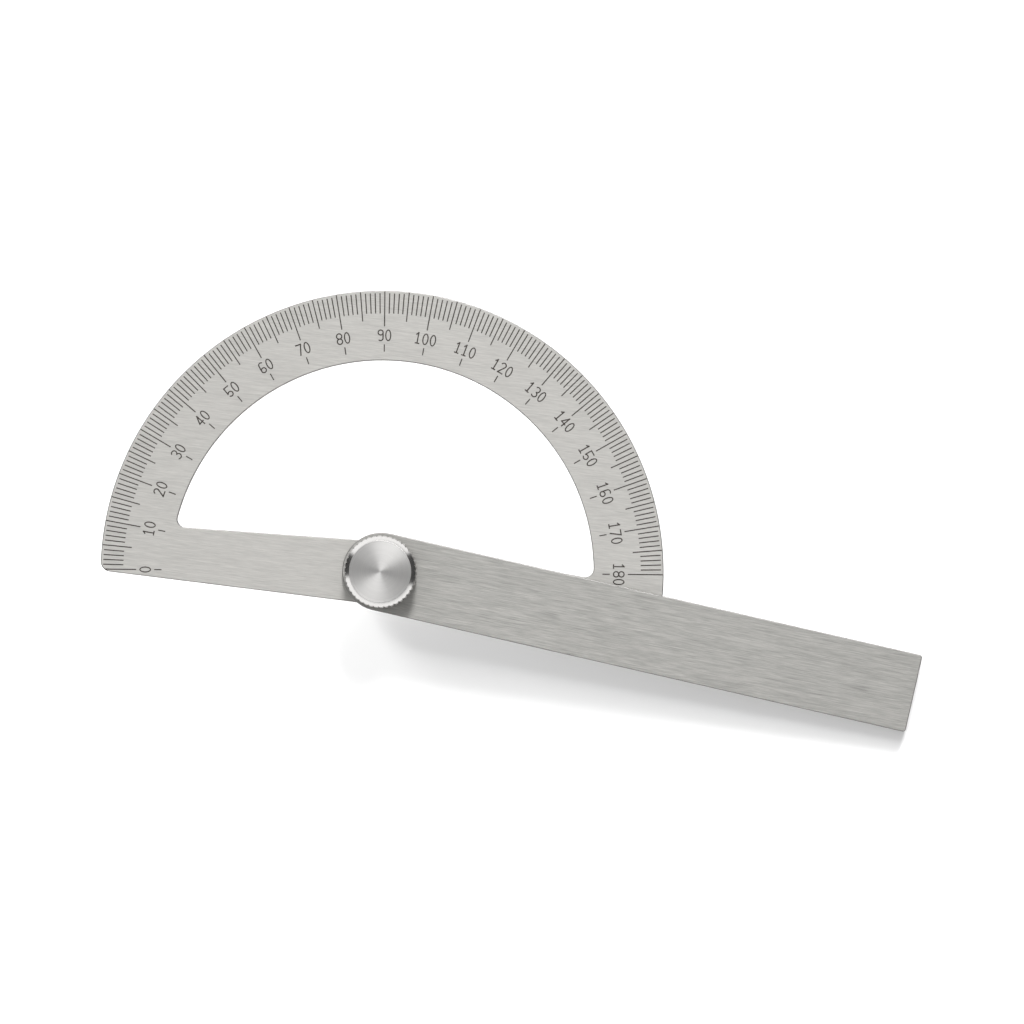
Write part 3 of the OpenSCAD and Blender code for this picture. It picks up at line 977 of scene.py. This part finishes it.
class ANGLEFINDER_OT_stage(bpy.types.Operator):
    """Set up the floor, the light and the camera"""
    bl_idname = "anglefinder.stage"
    bl_label = "Stage"

    def picture_direction(self, stage, azimuth, height):
        """A direction in the frame, from its azimuth clockwise from the picture's top."""
        turn = stage.camera_turn[2]
        across = Vector((math.cos(turn), math.sin(turn), 0))
        up = Vector((-math.sin(turn), math.cos(turn), 0))
        flat = across * math.sin(azimuth) + up * math.cos(azimuth)
        return flat * math.cos(height) + Vector((0, 0, math.sin(height)))

    def camera(self, stage):
        data = bpy.data.cameras.new("camera")
        data.lens = stage.camera_lens
        data.sensor_width = 36
        data.clip_start, data.clip_end = 0.01, 20
        camera = put("camera", data)
        camera.location = stage.camera_place
        camera.rotation_euler = stage.camera_turn
        bpy.context.scene.camera = camera

    def sun(self, stage, name, key):
        """A light with the settings whose names start with the key."""
        strength, azimuth, height, softness = (
            getattr(stage, f"{key}_{value}")
            for value in ("strength", "azimuth", "height", "softness"))
        data = bpy.data.lights.new(name, "SUN")
        data.energy = strength
        data.angle = softness
        light = put(name, data)
        source = self.picture_direction(stage, azimuth, height)
        light.rotation_mode = "QUATERNION"
        light.rotation_quaternion = source.to_track_quat("Z", "Y")
        return light

    def tool_lights(self, stage):
        """A light on the sheets, which the knob shades too, and one on the knob."""
        key = self.sun(stage, "key", "key")
        sheets = bpy.data.collections.new("lit by the key")
        knob_light = self.sun(stage, "knob light", "knob")
        knob = bpy.data.collections.new("lit by the knob light")
        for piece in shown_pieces():
            home = knob if body_of(piece) == ["knob"] else sheets
            home.objects.link(piece)
        key.light_linking.receiver_collection = sheets
        knob_light.light_linking.receiver_collection = knob

    def floor_lights(self, stage, floor):
        """Two low lights on the floor, which only the arm and its washers shade."""
        lit = bpy.data.collections.new("lit by the floor lights")
        lit.objects.link(floor)
        casters = bpy.data.collections.new("shading the floor lights")
        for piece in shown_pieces():
            if body_of(piece) in (["arm"], ["clamp"]):
                casters.objects.link(piece)
        for light in (self.sun(stage, "floor light", "floor"),
                      self.sun(stage, "second floor light", "second")):
            light.light_linking.receiver_collection = lit
            light.light_linking.blocker_collection = casters

    def floor(self, stage):
        bm = bmesh.new()
        bmesh.ops.create_grid(bm, x_segments=1, y_segments=1, size=stage.floor_size / 2)
        bmesh.ops.rotate(bm, cent=(0, 0, 0), verts=bm.verts[:],
                         matrix=Matrix.Rotation(-stage.floor_tilt, 3, "Y"))
        drop = stage.floor_touch * math.tan(stage.floor_tilt)
        bmesh.ops.translate(bm, vec=(0, 0, -drop), verts=bm.verts[:])
        floor = put_mesh("floor", bm)
        floor.data.materials.append(self.floor_paint(stage))
        for ray in ("diffuse", "glossy", "transmission", "shadow"):
            setattr(floor, "visible_" + ray, False)
        floor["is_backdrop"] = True
        return floor

    def floor_paint(self, stage):
        """White paper that can't be seen from below."""
        material = bpy.data.materials.new("floor_paper")
        nodes = empty_tree(material)
        place = nodes.add("ShaderNodeTexCoord").outputs["Object"]
        fibres = nodes.noise(place, 900.0, 2.0)
        tone = nodes.spread(fibres, 0.895, 0.905)
        shade_of = nodes.add("ShaderNodeCombineColor", Red=tone, Green=tone,
                             Blue=tone).outputs[0]
        paper = nodes.add("ShaderNodeBsdfDiffuse", Color=shade_of).outputs[0]
        seen = nodes.add("ShaderNodeLightPath").outputs["Is Camera Ray"]
        glow = nodes.add("ShaderNodeEmission",
                         Strength=nodes.math("MULTIPLY", seen, stage.floor_glow)).outputs[0]
        white = nodes.feed("ShaderNodeAddShader", {}, (paper, glow))[0]
        clear = nodes.add("ShaderNodeBsdfTransparent").outputs[0]
        back = nodes.add("ShaderNodeNewGeometry").outputs["Backfacing"]
        mix = nodes.feed("ShaderNodeMixShader", {}, (back, white, clear))[0]
        nodes.add("ShaderNodeOutputMaterial", Surface=mix)
        return material

    def world(self, stage):
        """White walls with a dark flag on each side, a dimmer dome with a soft box high at
        the left, and a white ground."""
        world = bpy.data.worlds.new("studio")
        bpy.context.scene.world = world
        nodes = empty_tree(world)
        view = nodes.add("ShaderNodeTexCoord").outputs["Generated"]
        flat = nodes.vector("NORMALIZE", nodes.vector("MULTIPLY", view, (1, 1, 0)))
        height = nodes.add("ShaderNodeSeparateXYZ", Vector=view).outputs["Z"]
        sides = nodes.math("MAXIMUM", self.sector(nodes, flat, stage, *RIGHT_FLAG),
                           self.sector(nodes, flat, stage, *LEFT_FLAG))
        flags = nodes.math("MULTIPLY", sides, self.band(nodes, height, *FLAG_HEIGHTS))
        skirt = nodes.math("MULTIPLY", self.sector(nodes, flat, stage, *SKIRT),
                           self.band(nodes, height, *SKIRT_HEIGHTS))
        box = nodes.math("MULTIPLY", self.sector(nodes, flat, stage, *SOFT_BOX),
                         nodes.fit(height, 0.9, 0.97, 1, 0, True))
        rays = nodes.add("ShaderNodeLightPath").outputs
        mirrored = nodes.math("MAXIMUM", rays["Is Glossy Ray"], rays["Is Transmission Ray"])
        light = nodes.fit(mirrored, 0, 1, *GROUND_LEVELS)
        wall = nodes.fit(height, 0.1, 0.32, stage.wall_foot, stage.wall_level, True)
        light = self.blend(nodes, light, wall, nodes.fit(height, -0.05, 0.02, 0, 1, True))
        light = self.blend(nodes, light, stage.skirt_level, skirt)
        dome = nodes.math("MULTIPLY_ADD", box, stage.box_level, stage.dome_level)
        light = self.blend(nodes, light, dome, nodes.fit(height, 0.5, 0.64, 0, 1, True))
        light = self.blend(nodes, light, stage.flag_level, flags)
        light = nodes.math("MAXIMUM", light, rays["Is Camera Ray"])
        paint = nodes.add("ShaderNodeBackground", Color=(1, 1, 1, 1), Strength=light)
        nodes.add("ShaderNodeOutputWorld", Surface=paint.outputs[0])

    def blend(self, nodes, first, second, share_of_second):
        step = nodes.math("SUBTRACT", second, first)
        return nodes.math("MULTIPLY_ADD", step, share_of_second, first)

    def band(self, nodes, height, low, high):
        """1 between two heights of the sky, 0 outside them, with soft borders."""
        soft = 0.07
        return nodes.math("MULTIPLY",
                          nodes.fit(height, low - soft, low + soft, 0, 1, True),
                          nodes.fit(height, high - soft, high + soft, 1, 0, True))

    def sector(self, nodes, flat, stage, azimuth, half_width, soft):
        """1 inside a range of azimuths, 0 outside it, with soft borders."""
        middle = self.picture_direction(stage, math.radians(azimuth), 0)
        facing = nodes.vector("DOT_PRODUCT", flat, tuple(middle), out="Value")
        return nodes.fit(facing, math.cos(math.radians(half_width + soft)),
                         math.cos(math.radians(half_width - soft)), 0, 1, True)

    def execute(self, context):
        stage = context.scene.angle_stage
        context.scene.view_settings.view_transform = "Standard"
        self.camera(stage)
        floor = self.floor(stage)
        self.world(stage)
        self.tool_lights(stage)
        self.floor_lights(stage, floor)
        return {"FINISHED"}


class ANGLEFINDER_PT_panel(bpy.types.Panel):
    """Lists the angle finder's pieces and its settings"""
    bl_label = "Angle finder"
    bl_idname = "ANGLEFINDER_PT_panel"
    bl_space_type = "VIEW_3D"
    bl_region_type = "UI"
    bl_category = "Angle finder"

    def draw(self, context):
        for operator in OPERATORS:
            self.layout.operator(operator.bl_idname)
        for name, group in GROUPS.items():
            box = self.layout.box()
            box.label(text=group.__name__)
            values = getattr(context.scene, name)
            for prop in group.__annotations__:
                box.prop(values, prop)


GROUPS = {
    "angle_plate": PlateSettings,
    "angle_arm": ArmSettings,
    "angle_stud": StudSettings,
    "angle_washers": WasherSettings,
    "angle_knob": KnobSettings,
    "angle_finish": FinishSettings,
    "angle_stage": StageSettings,
}
OPERATORS = (
    ANGLEFINDER_OT_scale_plate,
    ANGLEFINDER_OT_swing_arm,
    ANGLEFINDER_OT_pivot_stud,
    ANGLEFINDER_OT_washers,
    ANGLEFINDER_OT_lock_knob,
    ANGLEFINDER_OT_stage,
)
CLASSES = (*GROUPS.values(), *OPERATORS, ANGLEFINDER_PT_panel)


def register():
    for kind in CLASSES:
        bpy.utils.register_class(kind)
    for name, group in GROUPS.items():
        setattr(bpy.types.Scene, name, PointerProperty(type=group))


def unregister():
    for name in GROUPS:
        delattr(bpy.types.Scene, name)
    for kind in reversed(CLASSES):
        bpy.utils.unregister_class(kind)


def main():
    register()
    bpy.ops.anglefinder.scale_plate()
    bpy.ops.anglefinder.swing_arm()
    bpy.ops.anglefinder.pivot_stud()
    bpy.ops.anglefinder.washers()
    bpy.ops.anglefinder.lock_knob()
    bpy.ops.anglefinder.stage()


if __name__ == "__main__":
    main()
